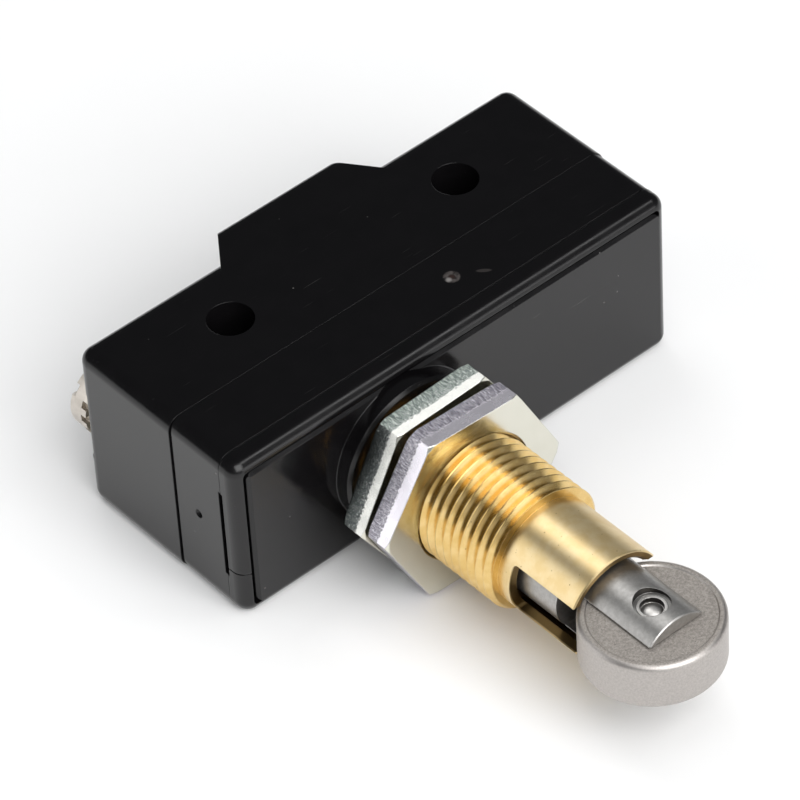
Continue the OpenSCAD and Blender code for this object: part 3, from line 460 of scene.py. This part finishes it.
def paint():
    """Gives every CAD node and every new piece its material, and returns the bushing."""
    black, steel = phenolic(), satin_steel()
    nickel = plated("nickel_plate", (0.54, 0.50, 0.45), (0.64, 0.595, 0.54), (0.34, 0.44))
    strip = plated("terminal_plate", (0.60, 0.55, 0.44), (0.70, 0.65, 0.54))
    silver = plated("contact_silver", (0.80, 0.79, 0.76), (0.90, 0.89, 0.87))
    wire = plated("spring_wire", (0.30, 0.30, 0.31), (0.42, 0.42, 0.43))
    rear = zinc_plate("zinc_rear", REAR_NUT_BACK, torn_share=0.62, dark=rgb(0.09, 0.12, 0.11),
                      light=rgb(0.40, 0.43, 0.40), cut_colour=rgb(0.78, 0.78, 0.74),
                      roll=0.40, depth=0.005, shade=0.85)
    front = zinc_plate("zinc_front", FRONT_NUT_BACK, torn_share=0.5, dark=rgb(0.30, 0.28, 0.34),
                       light=rgb(0.86, 0.83, 0.90), cut_colour=rgb(0.80, 0.77, 0.83),
                       roll=0.0, depth=0.012, shade=0.5)
    by_node = {
        "base_case": black, "front_cover": black, "actuator_plate": black,
        "guide_bush": plated("guide_metal", (0.52, 0.50, 0.44), (0.64, 0.62, 0.56)),
        "rear_lock_nut": rear, "front_lock_nut": front,
        "roller_plunger": steel, "inner_pusher": steel,
        "roller_pin": satin_steel("bright_pin", (0.70, 0.68, 0.65), (0.84, 0.82, 0.79)),
        "roller": sintered_steel(), "switch_button": button_phenolic(),
        "snap_blade": plated("blade_copper", (0.62, 0.36, 0.20), (0.74, 0.48, 0.30)),
        "moving_contact": silver, "nc_contact": silver, "no_contact": silver,
        "com_terminal": strip, "no_terminal": strip, "nc_terminal": strip,
        "terminal_screws": nickel, "toothed_washers": nickel,
    }
    for name, material in by_node.items():
        dress(nodes[name], material)
    bushing = threaded_bushing()
    dress(bushing, turned_brass())
    dress(spring_piece("return_spring", "switch_body"), wire)
    dress(spring_piece("overtravel_spring", "plunger"), wire)
    return bushing


# Camera: fitted to the photograph's edges
LENS, SENSOR = 247.73, 36.0
AZIMUTH, ELEVATION, ROLL = math.radians(-38.730), math.radians(43.959), math.radians(-3.622)
TARGET, DISTANCE = Vector((-3.2106, -10.2942, 8.725)) * MM, 468.93 * MM
CLIP_NEAR, CLIP_FAR = 0.01, 20

# Studio, in metres: floor, distances of the lights and the faint sky
FLOOR_HALF = 1.5
BOX_DISTANCE, KEY_DISTANCE = 0.9, 1.2
SKY_COLOUR, SKY_STRENGTH = rgb(0.9, 0.95, 1.0), 0.08


def camera():
    """Camera at the photograph's angle."""
    back = Vector((math.sin(AZIMUTH) * math.cos(ELEVATION), -math.cos(AZIMUTH) * math.cos(ELEVATION),
                   math.sin(ELEVATION)))
    level = Vector((math.cos(AZIMUTH), math.sin(AZIMUTH), 0))
    lift = back.cross(level)
    right = level * math.cos(ROLL) + lift * math.sin(ROLL)
    up = back.cross(right)
    data = bpy.data.cameras.new("camera")
    data.lens, data.sensor_width = LENS, SENSOR
    data.clip_start, data.clip_end = CLIP_NEAR, CLIP_FAR
    made = bpy.data.objects.new("camera", data)
    turn = Matrix((right, up, back)).transposed().to_4x4()
    made.matrix_world = Matrix.Translation(TARGET + back * DISTANCE) @ turn
    bpy.context.scene.collection.objects.link(made)
    bpy.context.scene.camera = made


def softbox(name, towards, width, height, power, shape="RECTANGLE", distance=BOX_DISTANCE):
    """Area light that faces the object from the given direction."""
    data = bpy.data.lights.new(name, "AREA")
    data.shape, data.size, data.size_y, data.energy = shape, width, height, power
    made = bpy.data.objects.new(name, data)
    direction = Vector(towards).normalized()
    made.location = TARGET + direction * distance
    made.rotation_euler = direction.to_track_quat("Z", "Y").to_euler()
    bpy.context.scene.collection.objects.link(made)
    return made


def link_light(light, pieces, state):
    """Sets whether a light reaches the given pieces alone (INCLUDE) or all but them (EXCLUDE)."""
    linked = bpy.data.collections.new(light.name + "_pieces")
    for piece in pieces:
        linked.objects.link(piece)
    for entry in linked.collection_objects:
        entry.light_linking.link_state = state
    light.light_linking.receiver_collection = linked


def flag_off(light, pieces):
    """Keeps a light off the given pieces."""
    link_light(light, pieces, "EXCLUDE")


def light_only(light, pieces):
    """Keeps a light on the given pieces alone."""
    link_light(light, pieces, "INCLUDE")


def studio(bushing):
    """Pale floor, soft boxes and a faint sky."""
    corners = [(-1, -1), (1, -1), (1, 1), (-1, 1)]
    floor = mesh_object("floor", [(x * FLOOR_HALF, y * FLOOR_HALF, 0) for x, y in corners], [(0, 1, 2, 3)])
    dress(floor, floor_paper())
    black = [nodes[name] for name in ("base_case", "front_cover", "actuator_plate")]
    for light in (
        softbox("rear_top_box", (0.10, 0.53, 0.84), 0.44, 0.6, 1.6),
        softbox("rear_right_fill", (0.62, 0.56, 0.50), 0.5, 0.6, 0.28),
        softbox("overhead_box", (0.05, -0.20, 0.95), 1.0, 0.55, 2.2),
        softbox("front_box", (0.174, -0.82, 0.545), 0.54, 0.6, 1.4),
        softbox("rear_left_box", (-0.77, 0.53, 0.36), 0.62, 0.75, 2.0),
    ):
        flag_off(light, black)
    flag_off(softbox("right_box", (0.86, 0.50, 0.0), 0.5, 0.3, 0.28), [nodes["roller_plunger"]])
    softbox("front_right_box", (0.45, -0.41, 0.80), 0.26, 0.13, 0.42, "ELLIPSE")
    softbox("front_low_box", (0.36, -0.91, 0.18), 0.54, 0.26, 0.76, "ELLIPSE")
    flag_off(softbox("key_box", (-0.15, -0.72, 0.68), 1.1, 1.0, 13.2, distance=KEY_DISTANCE), [bushing])
    for light in (
        softbox("thread_fill_right", (0.64, -0.71, 0.31), 0.5, 0.4, 0.14),
        softbox("thread_fill_left", (-0.42, -0.89, 0.16), 0.38, 0.36, 0.20),
        softbox("thread_fill_top", (0.06, -0.25, 0.95), 0.9, 0.6, 1.1),
    ):
        light_only(light, [bushing])
    world = bpy.data.worlds.new("studio")
    world.use_nodes = True
    sky = world.node_tree.nodes["Background"]
    sky.inputs["Color"].default_value = SKY_COLOUR
    sky.inputs["Strength"].default_value = SKY_STRENGTH
    bpy.context.scene.world = world
    bpy.context.scene.view_settings.view_transform = "Standard"


brass_bushing = paint()
camera()
studio(brass_bushing)
